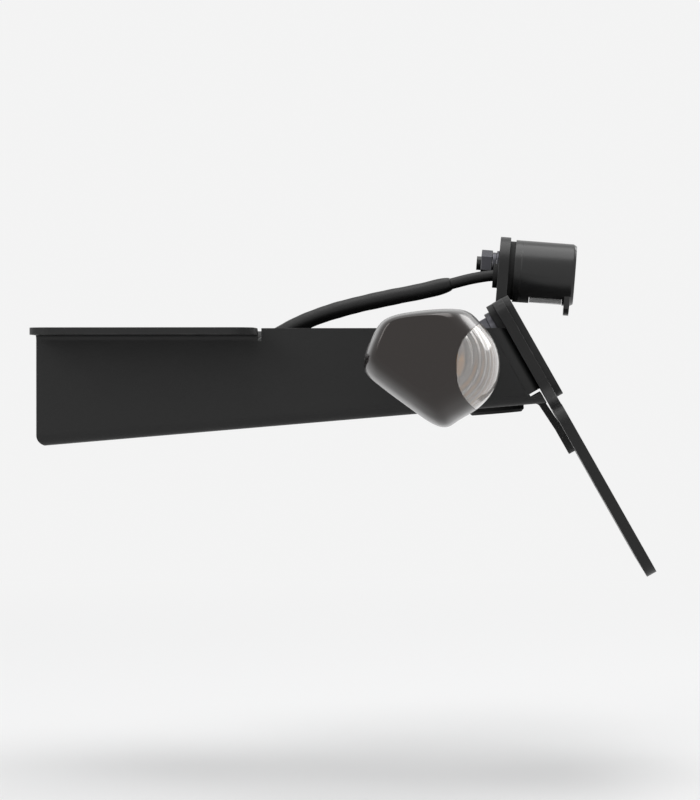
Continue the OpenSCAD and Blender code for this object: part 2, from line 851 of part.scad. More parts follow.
module lamp_nut() {
    seat = carrier_t + lamp_washer_t + spring_washer_t + lamp_nut_t;
    color("#333435") lamp_frame() at_stud() translate([-seat, 0, 0]) pointing_rear()
        difference() {
            hex_prism(lamp_nut_af, lamp_nut_t);
            translate([0, 0, -1]) cylinder(d = stud_d, h = lamp_nut_t + 2);
        }
}

// Lead of the lamp

module lead_grommet() {
    color("#181818") lamp_frame() at_exit() difference() {
        union() {
            translate([-carrier_t, 0, 0]) pointing_rear()
                cylinder(d = grommet_hole_d, h = carrier_t);
            translate([-carrier_t - grommet_flange_t, 0, 0]) pointing_rear()
                cylinder(d = grommet_flange_d, h = grommet_flange_t);
        }
        translate([-far / 2, 0, 0]) pointing_rear() cylinder(d = lead_d + 2 * lead_clear, h = far);
    }
}

module lamp_lead() {
    color("#1c1c1c") route_rod(lead_route, lead_d / 2, 8);
}

module lead_sleeve() {
    color("#202020")
        route_tube(lead_route, sleeve_first, sleeve_last, sleeve_d / 2, sleeve_bore / 2, 10);
}

module lead_clip() {
    color("#141414") floor_frame(clip_x) translate([-clip_l / 2, clip_y, sheet_t])
        facing_rear(clip_l) difference() {
            union() {
                translate([-clip_w / 2, 0]) square([clip_w, clip_base_t]);
                translate([0, clip_rise]) circle(clip_bore_r + clip_wall);
                translate([-clip_bore_r - clip_wall, 0])
                    square([2 * (clip_bore_r + clip_wall), clip_rise]);
            }
            translate([0, clip_rise]) circle(clip_bore_r);
            translate([clip_bore_r / 3, clip_rise]) square([clip_slit, 2 * clip_bore_r]);
        }
}

module lead_connector() {
    color("#101010") floor_frame(connector_x) translate([0, clip_y, sheet_t]) difference() {
        union() {
            translate([-connector_l / 2, -connector_w / 2, 0])
                cube([connector_l, connector_w, connector_h]);
            translate([-latch.x / 2, -latch.y / 2, connector_h - eps]) cube(latch);
        }
        translate([-connector_l / 2 - 1, -connector_w / 2 + connector_wall, connector_wall])
            cube([
                connector_l - connector_web + 1, connector_w - 2 * connector_wall,
                connector_h - 2 * connector_wall
            ]);
        translate([0, 0, connector_h / 2]) pointing_rear()
            cylinder(d = lead_d + 2 * lead_clear, h = connector_l);
    }
}

module connector_pins() {
    color("#c9a24a") floor_frame(connector_x)
        translate([connector_l / 2 - connector_web, clip_y, sheet_t + connector_h / 2])
            for (s = [-1, 1]) translate([-pin_l, s * pin_gap / 2, 0]) pointing_rear()
                cylinder(d = pin_d, h = pin_l);
}

module web_grommet() {
    color("#161616") floor_frame(plug_x) {
        translate([0, 0, -plug_flange_t - plug_clear]) {
            cylinder(d1 = plug_flange_d - 2 * plug_chamfer, d2 = plug_flange_d, h = plug_chamfer);
            translate([0, 0, plug_chamfer])
                cylinder(d = plug_flange_d, h = plug_flange_t - plug_chamfer);
        }
        translate([0, 0, -2 * plug_clear])
            cylinder(d = plug_hole_d - 2 * plug_clear, h = sheet_t + 4 * plug_clear);
        translate([0, 0, sheet_t + plug_clear]) difference() {
            cylinder(d1 = plug_hole_d + 2.4, d2 = plug_hole_d + 0.6, h = plug_top_t);
            translate([0, 0, plug_top_t - plug_dish]) cylinder(d = plug_hole_d - 3, h = plug_top_t);
        }
    }
}

// Indicators

module on_side(s) {
    mirror([0, s < 0 ? 1 : 0, 0]) translate([ind_x, half_w, -ind_drop]) children();
}

module outwards() {
    rotate([-90, 0, 0]) children();
}

module indicator_stem(s) {
    color("#9fa1a3") on_side(s) translate([0, -stem_in, 0]) outwards()
        ring(stem_d / 2, stem_bore / 2, stem_in + stem_out);
}

module indicator_washer(s) {
    color("#b0b2b4") on_side(s) translate([0, -sheet_t - stem_washer_t, 0]) outwards()
        ring(stem_washer_d / 2, stem_hole_d / 2, stem_washer_t);
}

module indicator_nut(s) {
    seat = sheet_t + stem_washer_t + stem_nut_t;
    color("#a8aaac") on_side(s) translate([0, -seat, 0]) outwards() difference() {
        hex_prism(stem_nut_af, stem_nut_t);
        translate([0, 0, -1]) cylinder(d = stem_d, h = stem_nut_t + 2);
    }
}

// Rubber stalk: broad foot on the arm, ribbed waist, plain neck inside the housing
module indicator_stalk(s) {
    pitch = waist_l / stalk_ribs;
    color("#1b1b1b") on_side(s) outwards() difference() {
        rotate_extrude() polygon(concat(
            [[0, 0], [stalk_foot_r, 0], [stalk_foot_r, 1.8], [rib_r + 0.3, 3.2]],
            [
                for (i = [0 : stalk_ribs - 1]) each [
                    [rib_r, waist_y + (i - 0.1) * pitch], [rib_r, waist_y + (i + 0.4) * pitch],
                    [groove_r, waist_y + (i + 0.55) * pitch],
                    [groove_r, waist_y + (i + 0.85) * pitch]
                ]
            ],
            [
                [rib_r - 0.8, waist_y + waist_l], [rib_r - 0.8, housing_y - 0.2],
                [stalk_neck_r, housing_y - 0.2], [stalk_neck_r, housing_y + stalk_neck_l],
                [0, housing_y + stalk_neck_l]
            ]
        ));
        translate([0, 0, -1]) cylinder(d = stem_d, h = stem_out + 1);
        cylinder(d = stem_bore, h = far);
    }
}

function housing_rings(shrink) = [
    for (st = stations) [
        for (p = smooth_loop(section, section_steps))
            let (q = p - shrink * unit(p))
            [q.x * st[1] + fit_x * st[2], housing_y + st[0] * housing_l, q.y * st[1] + fit_z * st[3]]
    ]
];

// Hollow of the housing, shorter at both ends by the wall
function hollow_rings(wall) = [
    for (st = stations)
        let (y = housing_y + wall * 1.4 + st[0] * (housing_l - 2.8 * wall))
        [
            for (p = smooth_loop(section, section_steps))
                let (q = p - wall / st[1] * unit(p))
                [q.x * st[1] + fit_x * st[2], y, q.y * st[1] + fit_z * st[3]]
        ]
];

module behind(x) {
    translate([x, -far, -far]) cube(2 * far);
}

module neck_cut() {
    translate([0, housing_y - 1, 0]) outwards() cylinder(r = stalk_neck_r, h = stalk_neck_l + 2);
}

module indicator_housing(s) {
    color("#241f1d") on_side(s) difference() {
        skin(housing_rings(0));
        skin(hollow_rings(shell_t));
        behind(lens_x);
        neck_cut();
    }
}

module indicator_lens(s) {
    color("#e2dfd9", 0.6) on_side(s) difference() {
        union() {
            intersection() {
                skin(housing_rings(0));
                behind(lens_x);
            }
            intersection() {
                skin(hollow_rings(shell_t + 0.1));
                behind(lens_x - lens_rim);
                mirror([1, 0, 0]) behind(-lens_x - 1);
            }
        }
        skin(hollow_rings(shell_t + 1));
        neck_cut();
    }
}

module indicator_reflector(s) {
    color("#d5d6d8") on_side(s) difference() {
        intersection() {
            skin(hollow_rings(shell_t + 0.3));
            translate([reflector_x - reflector_t, 0, -far]) cube([reflector_t, far, 2 * far]);
        }
        translate([reflector_x - reflector_t + bowl_back + bowl_r, housing_y + bulb_y, bulb_z])
            outwards() rotate_extrude() polygon(concat(
                [[0, -bowl_l / 2]],
                [for (a = [-75 : 15 : 75]) [bowl_r * cos(a), bowl_l / 2 * sin(a)]],
                [[0, bowl_l / 2]]
            ));
        translate([-far, 0, -far]) cube([2 * far, housing_y + stalk_neck_l + 1, 2 * far]);
        translate([0, housing_y + bulb_y, bulb_z]) rotate([0, -90, 0])
            cylinder(r = bulb_r + bulb_clear, h = far);
    }
}

module indicator_bulb(s) {
    color("#e08a1e") on_side(s) translate([reflector_x - 1, housing_y + bulb_y, bulb_z]) {
        sphere(r = bulb_r);
        rotate([0, -90, 0]) cylinder(r = bulb_r, h = bulb_l);
    }
}

main_bracket();
plate_carrier();
rear_doubler();
carrier_screws();
carrier_washers();
carrier_nuts();
lamp_housing();
lamp_lens();
lamp_led_board();
lamp_base();
lamp_gasket();
lamp_washer();
lamp_spring_washer();
lamp_nut();
lead_grommet();
lamp_lead();
lead_sleeve();
lead_clip();
lead_connector();
connector_pins();
web_grommet();
indicator_housing(LEFT);  // left_indicator_housing
indicator_lens(LEFT);  // left_indicator_lens
indicator_reflector(LEFT);  // left_indicator_reflector
indicator_bulb(LEFT);  // left_indicator_bulb
indicator_stalk(LEFT);  // left_indicator_stalk
indicator_stem(LEFT);  // left_indicator_stem
indicator_washer(LEFT);  // left_indicator_washer
indicator_nut(LEFT);  // left_indicator_nut
indicator_housing(RIGHT);  // right_indicator_housing
indicator_lens(RIGHT);  // right_indicator_lens
indicator_reflector(RIGHT);  // right_indicator_reflector
indicator_bulb(RIGHT);  // right_indicator_bulb
indicator_stalk(RIGHT);  // right_indicator_stalk
indicator_stem(RIGHT);  // right_indicator_stem
indicator_washer(RIGHT);  // right_indicator_washer
indicator_nut(RIGHT);  // right_indicator_nut
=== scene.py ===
"""Tail tidy: folded steel arm, inclined plate carrier, plate lamp and two indicators. The camera
looks along +Y from beside the arm; X runs rearwards, Z up, in metres."""

import bmesh
import bpy
from math import cos, pi, radians, sin
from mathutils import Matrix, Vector


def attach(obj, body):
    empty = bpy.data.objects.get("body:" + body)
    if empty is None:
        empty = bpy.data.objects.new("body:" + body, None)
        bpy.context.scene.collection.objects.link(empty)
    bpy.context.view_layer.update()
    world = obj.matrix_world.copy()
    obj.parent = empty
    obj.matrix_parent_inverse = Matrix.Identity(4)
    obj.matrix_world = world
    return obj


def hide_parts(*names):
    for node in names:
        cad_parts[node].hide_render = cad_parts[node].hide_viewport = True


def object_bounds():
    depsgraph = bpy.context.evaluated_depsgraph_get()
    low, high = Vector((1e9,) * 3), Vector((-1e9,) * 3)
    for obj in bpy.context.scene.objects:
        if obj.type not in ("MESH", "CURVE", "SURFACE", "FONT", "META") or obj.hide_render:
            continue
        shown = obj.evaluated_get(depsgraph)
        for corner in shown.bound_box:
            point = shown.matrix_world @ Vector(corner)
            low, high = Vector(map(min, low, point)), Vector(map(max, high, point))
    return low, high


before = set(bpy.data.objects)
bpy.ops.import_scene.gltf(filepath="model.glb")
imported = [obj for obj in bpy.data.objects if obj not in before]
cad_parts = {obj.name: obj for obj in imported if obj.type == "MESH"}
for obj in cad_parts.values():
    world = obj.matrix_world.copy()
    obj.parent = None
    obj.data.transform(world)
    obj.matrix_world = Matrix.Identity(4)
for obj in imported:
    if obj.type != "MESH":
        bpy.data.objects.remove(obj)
cad_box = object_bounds()

# Camera: it stands at the photograph's viewpoint, 0.95 m to the left of the arm's middle and just
# below the arm's upper edge. A longer lens lets the object fill the frame.

camera_data = bpy.data.cameras.new("camera")
camera_data.sensor_fit = "HORIZONTAL"
camera_data.sensor_width = 36.0
camera_data.lens = 168.0
camera_data.clip_start = 0.05
camera_data.clip_end = 40.0
camera = bpy.data.objects.new("camera", camera_data)
camera.location = (0.106, -0.95, -0.0139)
look_at = Vector((0.0555, 0.0, -0.0205))
camera.rotation_euler = (look_at - camera.location).to_track_quat("-Z", "Y").to_euler()
bpy.context.scene.collection.objects.link(camera)
bpy.context.scene.camera = camera

# Lead of the lamp: a round plastic-jacketed lead of 3.2 mm. It leaves the upstand through a
# grommet, passes over the arm and dips into the channel, where a clip holds it to the floor.

LEAD_ROUTE = [
    (0.101, -0.0055, 0.0152), (0.097, -0.0055, 0.0155), (0.091, -0.0055, 0.0146),
    (0.085, -0.0055, 0.0131), (0.077, -0.0056, 0.0111), (0.067, -0.0058, 0.0091),
    (0.058, -0.006, 0.0071), (0.050, -0.0063, 0.0049), (0.043, -0.0066, 0.0023),
    (0.036, -0.007, -0.0012), (0.029, -0.0073, -0.006), (0.022, -0.0076, -0.012),
    (0.015, -0.0078, -0.018), (0.0085, -0.008, -0.0224), (0.002, -0.008, -0.0245),
    (-0.005, -0.008, -0.0251), (-0.010, -0.008, -0.0255), (-0.015, -0.008, -0.0259),
]


def smooth_route(points, steps):
    """Points of a smooth curve through the given ones."""
    out = []
    for i in range(len(points) - 1):
        p0, p1 = Vector(points[max(i - 1, 0)]), Vector(points[i])
        p2, p3 = Vector(points[i + 1]), Vector(points[min(i + 2, len(points) - 1)])
        for k in range(steps):
            t = k / steps
            out.append(0.5 * (
                2 * p1 + (p2 - p0) * t + (2 * p0 - 5 * p1 + 4 * p2 - p3) * t * t
                + (3 * p1 - p0 - 3 * p2 + p3) * t ** 3
            ))
    out.append(Vector(points[-1]))
    return out


def new_piece(name, verts, faces, smooth=True):
    """Object from points and faces, with all faces turned outwards."""
    mesh = bpy.data.meshes.new(name)
    mesh.from_pydata([tuple(v) for v in verts], [], faces)
    mesh.validate()
    work = bmesh.new()
    work.from_mesh(mesh)
    bmesh.ops.recalc_face_normals(work, faces=work.faces)
    work.to_mesh(mesh)
    work.free()
    for face in mesh.polygons:
        face.use_smooth = smooth
    piece = bpy.data.objects.new(name, mesh)
    bpy.context.scene.collection.objects.link(piece)
    return piece


def sweep(name, path, radii, sides):
    """Closed tube or rod along a path; radii gives one radius for each point."""
    verts, faces = [], []
    for i, p in enumerate(path):
        along = (path[min(i + 1, len(path) - 1)] - path[max(i - 1, 0)]).normalized()
        u = Vector((0, 1, 0)).cross(along).normalized()
        v = along.cross(u)
        for k in range(sides):
            a = 2 * pi * k / sides
            verts.append(p + radii[i] * (cos(a) * u + sin(a) * v))
    for i in range(len(path) - 1):
        for k in range(sides):
            a, b = i * sides + k, i * sides + (k + 1) % sides
            faces.append((a, b, b + sides, a + sides))
    faces.append(tuple(range(sides)))
    faces.append(tuple(range((len(path) - 1) * sides, len(path) * sides)))
    return new_piece(name, verts, faces)


def node_group(name, inputs, outputs):
    """Empty shader node group with its sockets; returns the tree, its input and output node."""
    tree = bpy.data.node_groups.new(name, "ShaderNodeTree")
    for label, kind, value in inputs:
        item = tree.interface.new_socket(label, in_out="INPUT", socket_type=kind)
        item.default_value = value
    for label, kind in outputs:
        tree.interface.new_socket(label, in_out="OUTPUT", socket_type=kind)
    return tree, tree.nodes.new("NodeGroupInput"), tree.nodes.new("NodeGroupOutput")


# Grain: a fine noise for the height, as in the orange peel of powder coat or the skin of moulded
# plastic, and a broad one that varies tone and gloss
grain_tree, grain_in, grain_out = node_group(
    "surface_grain",
    [("Scale", "NodeSocketFloat", 900.0), ("Roughness", "NodeSocketFloat", 0.5),
     ("Spread", "NodeSocketFloat", 0.1), ("Color", "NodeSocketColor", (0.02, 0.02, 0.02, 1)),
     ("Tone", "NodeSocketFloat", 0.15)],
    [("Color", "NodeSocketColor"), ("Roughness", "NodeSocketFloat"),
     ("Height", "NodeSocketFloat")],
)
grain_place = grain_tree.nodes.new("ShaderNodeTexCoord")
grain_fine = grain_tree.nodes.new("ShaderNodeTexNoise")
grain_fine.inputs["Detail"].default_value = 3.0
grain_tree.links.new(grain_place.outputs["Object"], grain_fine.inputs["Vector"])
grain_tree.links.new(grain_in.outputs["Scale"], grain_fine.inputs["Scale"])
grain_broad = grain_tree.nodes.new("ShaderNodeTexNoise")
grain_broad.inputs["Scale"].default_value = 160.0
grain_broad.inputs["Detail"].default_value = 4.0
grain_tree.links.new(grain_place.outputs["Object"], grain_broad.inputs["Vector"])
grain_shift = grain_tree.nodes.new("ShaderNodeMath")
grain_shift.operation = "SUBTRACT"
grain_tree.links.new(grain_broad.outputs["Fac"], grain_shift.inputs[0])
grain_shift.inputs[1].default_value = 0.5
grain_rough = grain_tree.nodes.new("ShaderNodeMath")
grain_rough.operation = "MULTIPLY_ADD"
grain_tree.links.new(grain_shift.outputs[0], grain_rough.inputs[0])
grain_tree.links.new(grain_in.outputs["Spread"], grain_rough.inputs[1])
grain_tree.links.new(grain_in.outputs["Roughness"], grain_rough.inputs[2])
grain_tone = grain_tree.nodes.new("ShaderNodeMath")
grain_tone.operation = "MULTIPLY_ADD"
grain_tree.links.new(grain_shift.outputs[0], grain_tone.inputs[0])
grain_tree.links.new(grain_in.outputs["Tone"], grain_tone.inputs[1])
grain_tone.inputs[2].default_value = 1.0
grain_color = grain_tree.nodes.new("ShaderNodeVectorMath")
grain_color.operation = "SCALE"
grain_tree.links.new(grain_in.outputs["Color"], grain_color.inputs[0])
grain_tree.links.new(grain_tone.outputs[0], grain_color.inputs["Scale"])
grain_tree.links.new(grain_color.outputs[0], grain_out.inputs["Color"])
grain_tree.links.new(grain_rough.outputs[0], grain_out.inputs["Roughness"])
grain_tree.links.new(grain_fine.outputs["Fac"], grain_out.inputs["Height"])

# Edge wear and painted highlight: the coat is thin and rubbed along edges, where the metal or a
# paler tone shows; the paler edge is also a painted highlight along the edges
wear_and_highlight_tree, wear_in, wear_out = node_group(
    "edge_wear_and_highlight",
    [("Color", "NodeSocketColor", (0.02, 0.02, 0.02, 1)),
     ("Worn and Highlight Color", "NodeSocketColor", (0.2, 0.2, 0.2, 1)),
     ("Amount", "NodeSocketFloat", 0.5), ("Roughness", "NodeSocketFloat", 0.5),
     ("Worn Roughness", "NodeSocketFloat", 0.35)],
    [("Color", "NodeSocketColor"), ("Roughness", "NodeSocketFloat")],
)
wear_round = wear_and_highlight_tree.nodes.new("ShaderNodeBevel")
wear_round.samples = 6
wear_round.inputs["Radius"].default_value = 0.0005
wear_shape = wear_and_highlight_tree.nodes.new("ShaderNodeNewGeometry")
wear_turn = wear_and_highlight_tree.nodes.new("ShaderNodeVectorMath")
wear_turn.operation = "DOT_PRODUCT"
wear_and_highlight_tree.links.new(wear_round.outputs["Normal"], wear_turn.inputs[0])
wear_and_highlight_tree.links.new(wear_shape.outputs["Normal"], wear_turn.inputs[1])
wear_ramp = wear_and_highlight_tree.nodes.new("ShaderNodeMapRange")
wear_ramp.inputs["From Min"].default_value = 0.995
wear_ramp.inputs["From Max"].default_value = 0.9
wear_and_highlight_tree.links.new(wear_turn.outputs["Value"], wear_ramp.inputs["Value"])
wear_place = wear_and_highlight_tree.nodes.new("ShaderNodeTexCoord")
wear_noise = wear_and_highlight_tree.nodes.new("ShaderNodeTexNoise")
wear_noise.inputs["Scale"].default_value = 220.0
wear_noise.inputs["Detail"].default_value = 6.0
wear_and_highlight_tree.links.new(wear_place.outputs["Object"], wear_noise.inputs["Vector"])
wear_break = wear_and_highlight_tree.nodes.new("ShaderNodeMapRange")
wear_break.inputs["From Min"].default_value = 0.42
wear_break.inputs["From Max"].default_value = 0.66
wear_and_highlight_tree.links.new(wear_noise.outputs["Fac"], wear_break.inputs["Value"])
wear_both = wear_and_highlight_tree.nodes.new("ShaderNodeMath")
wear_both.operation = "MULTIPLY"
wear_and_highlight_tree.links.new(wear_ramp.outputs["Result"], wear_both.inputs[0])
wear_and_highlight_tree.links.new(wear_break.outputs["Result"], wear_both.inputs[1])
wear_and_highlight_mask = wear_and_highlight_tree.nodes.new("ShaderNodeMath")
wear_and_highlight_mask.operation = "MULTIPLY"
wear_and_highlight_mask.use_clamp = True
wear_and_highlight_tree.links.new(wear_both.outputs[0], wear_and_highlight_mask.inputs[0])
wear_and_highlight_tree.links.new(wear_in.outputs["Amount"], wear_and_highlight_mask.inputs[1])
# Blend to the paler edge colour: partly rubbed coat, partly a painted highlight on the edges
wear_and_highlight_mix = wear_and_highlight_tree.nodes.new("ShaderNodeMix")
wear_and_highlight_mix.data_type = "RGBA"
wear_and_highlight_tree.links.new(wear_and_highlight_mask.outputs[0], wear_and_highlight_mix.inputs["Factor"])
wear_and_highlight_tree.links.new(wear_in.outputs["Color"], wear_and_highlight_mix.inputs["A"])
wear_and_highlight_tree.links.new(wear_in.outputs["Worn and Highlight Color"], wear_and_highlight_mix.inputs["B"])
wear_rough = wear_and_highlight_tree.nodes.new("ShaderNodeMix")
wear_and_highlight_tree.links.new(wear_and_highlight_mask.outputs[0], wear_rough.inputs["Factor"])
wear_and_highlight_tree.links.new(wear_in.outputs["Roughness"], wear_rough.inputs["A"])
wear_and_highlight_tree.links.new(wear_in.outputs["Worn Roughness"], wear_rough.inputs["B"])
wear_and_highlight_tree.links.new(wear_and_highlight_mix.outputs["Result"], wear_out.inputs["Color"])
wear_and_highlight_tree.links.new(wear_rough.outputs["Result"], wear_out.inputs["Roughness"])


def linear(grey_or_rgb):
    """Linear colour from a colour as a screen shows it, 0 to 255."""
    rgb = (grey_or_rgb,) * 3 if isinstance(grey_or_rgb, (int, float)) else grey_or_rgb
    return tuple((c / 255) ** 2.2 for c in rgb) + (1.0,)


def finish(name, color, worn_and_highlight, roughness, spread=0.12, tone=0.25, grain=900.0, bump=0.08,
           depth=0.0002, wear_and_highlight=0.6, worn_roughness=0.35, metallic=0.0, **sockets):
    """Material with surface grain and edge wear, whose paler edges are also a painted highlight;
    sockets are constant values of its shader.
    """
    material = bpy.data.materials.new(name)
    material.use_nodes = True
    nodes, links = material.node_tree.nodes, material.node_tree.links
    shader = nodes["Principled BSDF"]
    surface = nodes.new("ShaderNodeGroup")
    surface.node_tree = grain_tree
    surface.inputs["Scale"].default_value = grain
    surface.inputs["Roughness"].default_value = roughness
    surface.inputs["Spread"].default_value = spread
    surface.inputs["Color"].default_value = color
    surface.inputs["Tone"].default_value = tone
    # Paler colour along the edges: edge wear and a painted highlight
    edges = nodes.new("ShaderNodeGroup")
    edges.node_tree = wear_and_highlight_tree
    edges.inputs["Worn and Highlight Color"].default_value = worn_and_highlight
    edges.inputs["Amount"].default_value = wear_and_highlight
    edges.inputs["Worn Roughness"].default_value = worn_roughness
    links.new(surface.outputs["Color"], edges.inputs["Color"])
    links.new(surface.outputs["Roughness"], edges.inputs["Roughness"])
    links.new(edges.outputs["Color"], shader.inputs["Base Color"])
    links.new(edges.outputs["Roughness"], shader.inputs["Roughness"])
    relief = nodes.new("ShaderNodeBump")
    relief.inputs["Strength"].default_value = bump
    relief.inputs["Distance"].default_value = depth
    links.new(surface.outputs["Height"], relief.inputs["Height"])
    links.new(relief.outputs["Normal"], shader.inputs["Normal"])
    shader.inputs["Metallic"].default_value = metallic
    for label, value in sockets.items():
        shader.inputs[label.replace("_", " ")].default_value = value
    return material


LEAD_RADIUS = 0.0016
LEAD_SIDES = 20
lead_path = smooth_route(LEAD_ROUTE, 4)
lead = sweep("lamp_lead_round", lead_path, [LEAD_RADIUS] * len(lead_path), LEAD_SIDES)
lead.data.materials.append(finish(
    "lead_jacket_pvc", linear(20), linear(60), 0.5, grain=1400.0, bump=0.05, wear_and_highlight=0.2,
    Specular_IOR_Level=0.35))
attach(lead, "root")
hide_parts("lamp_lead")

# Sleeve on the lead: heat-shrink tube, 4.8 mm over the lead. It was shrunk on by hand, so it
# shows faint ripples, and its ends draw in onto the lead.

SLEEVE_RADIUS = 0.0024
SLEEVE_DRAW_IN = 0.0006
SLEEVE_END_POINTS = 4
RIPPLE_DEPTH = 0.00005
SLEEVE_SIDES = 24
sleeve_path = smooth_route(LEAD_ROUTE[3:17], 8)
sleeve_radii = []
for i in range(len(sleeve_path)):
    from_end = min(i, len(sleeve_path) - 1 - i)
    draw_in = max(0.0, 1 - from_end / SLEEVE_END_POINTS) ** 2
    ripple = 1 + sin(i * 0.9) * sin(i * 0.37)
    sleeve_radii.append(SLEEVE_RADIUS - SLEEVE_DRAW_IN * draw_in - RIPPLE_DEPTH * ripple)
sleeve = sweep("lead_sleeve_shrunk", sleeve_path, sleeve_radii, SLEEVE_SIDES)
sleeve.data.materials.append(finish(
    "shrink_tube", linear(22), linear(70), 0.45, grain=1100.0, bump=0.07, wear_and_highlight=0.2,
    Specular_IOR_Level=0.35))
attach(sleeve, "root")
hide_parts("lead_sleeve")

# Arm: one laser-cut and folded sheet of 2 mm steel, with an open top, hat flanges, two ears and
# a tongue. Matt black powder coat, thin and a little rubbed on the edges, with a painted highlight
# along them.

SHEET_EDGE = 0.0001
SAME_POINT = 1e-6


def dress(node, material, edge=0.0):
    """Finish for a CAD piece, with its cut edges broken by a small round. The triangles of a flat
    face are joined first, because slivers among them would leave no room for the round."""
    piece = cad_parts[node]
    piece.data.materials.clear()
    piece.data.materials.append(material)
    if edge:
        weld = piece.modifiers.new("weld", "WELD")
        weld.merge_threshold = SAME_POINT
        joined = piece.modifiers.new("joined", "DECIMATE")
        joined.decimate_type = "DISSOLVE"
        joined.angle_limit = radians(1)
        rounds = piece.modifiers.new("edges", "BEVEL")
        rounds.width = edge
        rounds.segments = 2
        rounds.limit_method = "ANGLE"
        rounds.angle_limit = radians(40)
        rounds.use_clamp_overlap = False
        rounds.mark_sharp = True
        flats = piece.modifiers.new("flats", "WEIGHTED_NORMAL")
        flats.mode = "FACE_AREA_WITH_ANGLE"
        flats.keep_sharp = True


arm_coat = finish(
    "arm_powder_coat", linear(34), linear(96), 0.5, spread=0.1, tone=0.12, grain=1500.0,
    bump=0.25, depth=0.0001, wear_and_highlight=0.35, Specular_IOR_Level=0.3)
dress("main_bracket", arm_coat, SHEET_EDGE)

# Plate carrier and doubler: 3 mm and 2 mm steel, folded and powder coated satin black. Four
# countersunk screws clamp them to the arm's ears.

carrier_coat = finish(
    "carrier_powder_coat", linear(24), linear(90), 0.36, spread=0.1, tone=0.12, grain=1500.0,
    bump=0.18, depth=0.0001, wear_and_highlight=0.35, Specular_IOR_Level=0.35)
dress("plate_carrier", carrier_coat, SHEET_EDGE)
dress("rear_doubler", carrier_coat, SHEET_EDGE)

# Fasteners of carrier and lamp: steel washers and nuts, and four countersunk M6 screws with a
# hexagon socket and a rolled thread, all plated with black zinc.

FASTENER_EDGE = 0.00015
black_zinc = finish(
    "black_zinc", linear((74, 74, 78)), linear((170, 170, 168)), 0.34, spread=0.2, tone=0.2,
    grain=700.0, bump=0.06, wear_and_highlight=0.5, worn_roughness=0.25, metallic=1.0)
for node in ["carrier_washers", "carrier_nuts", "lamp_washer", "lamp_spring_washer", "lamp_nut"]:
    dress(node, black_zinc, FASTENER_EDGE)
THREAD_SIDES = 48
THREAD_RINGS = 8


def hexagon(across_flats):
    """Radius of a hexagon's edge at the angle a."""
    return lambda a: across_flats / 2 / cos((a + pi / 6) % (pi / 3) - pi / 6)


def thread(start, end, radius, pitch):
    """Rings of a thread with a pointed groove; its first and last turn run out."""
    depth = 0.6 * pitch
    steps = round((end - start) / pitch * THREAD_RINGS)
    rings = []
    for i in range(steps + 1):
        h = start + (end - start) * i / steps
        fade = min(1, (h - start) / pitch, (end - h) / (0.5 * pitch) + 0.3)
        rings.append((h, lambda a, h=h, fade=fade: radius - depth * fade * (
            1 - abs(2 * ((h / pitch - a / (2 * pi)) % 1) - 1))))
    return rings


def turned(name, places, rings, bore=None):
    """Turned piece, one copy for each place, which is a point and a direction. A ring is a height
    and a radius, or a radius for each angle. A bore joins the last ring back to the first."""
    verts, faces = [], []
    for point, along in places:
        u = Vector((0, 1, 0)) if abs(along.y) < 0.5 else Vector((1, 0, 0))
        v = along.cross(u)
        first = len(verts)
        profile = rings + ([(rings[-1][0], bore), (rings[0][0], bore)] if bore else [])
        for h, radius in profile:
            for k in range(THREAD_SIDES):
                a = 2 * pi * k / THREAD_SIDES
                r = radius(a) if callable(radius) else radius
                verts.append(point + h * along + r * (cos(a) * u + sin(a) * v))
        count = len(profile)
        total = count * THREAD_SIDES
        for i in range(count if bore else count - 1):
            for k in range(THREAD_SIDES):
                a, b = i * THREAD_SIDES + k, i * THREAD_SIDES + (k + 1) % THREAD_SIDES
                c, d = (a + THREAD_SIDES) % total, (b + THREAD_SIDES) % total
                faces.append((first + a, first + b, first + d, first + c))
        if not bore:
            faces.append(tuple(range(first, first + THREAD_SIDES)))
            faces.append(tuple(range(first + total - THREAD_SIDES, first + total)))
    piece = new_piece(name, verts, faces)
    piece.data.set_sharp_from_angle(angle=radians(35))
    return piece


# The screws go forwards from the doubler's rear face, which lies the thickness of carrier and
# doubler behind the arm's own. Rows are heights up the slope from the mounting face.
CARRIER_LEAN = radians(29.5)
REAR_NORMAL = Vector((cos(CARRIER_LEAN), 0, sin(CARRIER_LEAN)))
SLOPE_UP = Vector((-sin(CARRIER_LEAN), 0, cos(CARRIER_LEAN)))
ARM_REAR = 0.101
CARRIER_AND_DOUBLER = 0.005
SCREW_Y = 0.019
SCREW_ROWS = (0.000485, -0.012015)
SCREW_PITCH = 0.001
SCREW_RADIUS = 0.00298
HEAD_RADIUS = 0.00593
HEAD_HEIGHT = 0.0031
HEAD_SKIN = 0.00001
HEAD_BREAK = 0.0002
SOCKET_DEPTH = 0.0022
screw_places = [
    (Vector((ARM_REAR, y, 0)) + CARRIER_AND_DOUBLER * REAR_NORMAL + row * SLOPE_UP, -REAR_NORMAL)
    for y in (-SCREW_Y, SCREW_Y) for row in SCREW_ROWS
]
socket = hexagon(0.004)
screws = turned("carrier_screws_threaded", screw_places, [
    (SOCKET_DEPTH, lambda a: 0.1 * socket(a)), (SOCKET_DEPTH, socket), (HEAD_BREAK, socket),
    (HEAD_SKIN, lambda a: 1.08 * socket(a)), (HEAD_SKIN, 0.0057), (HEAD_BREAK, HEAD_RADIUS),
    (HEAD_HEIGHT, SCREW_RADIUS), *thread(0.0034, 0.0155, SCREW_RADIUS, SCREW_PITCH),
    (0.016, 0.0023)])
screws.data.materials.append(black_zinc)
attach(screws, "root")
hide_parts("carrier_screws")

# Plate lamp: turned metal body in satin black enamel, closed by a base with a stud, on a rubber
# gasket. A clear window on the underside lights the number plate.

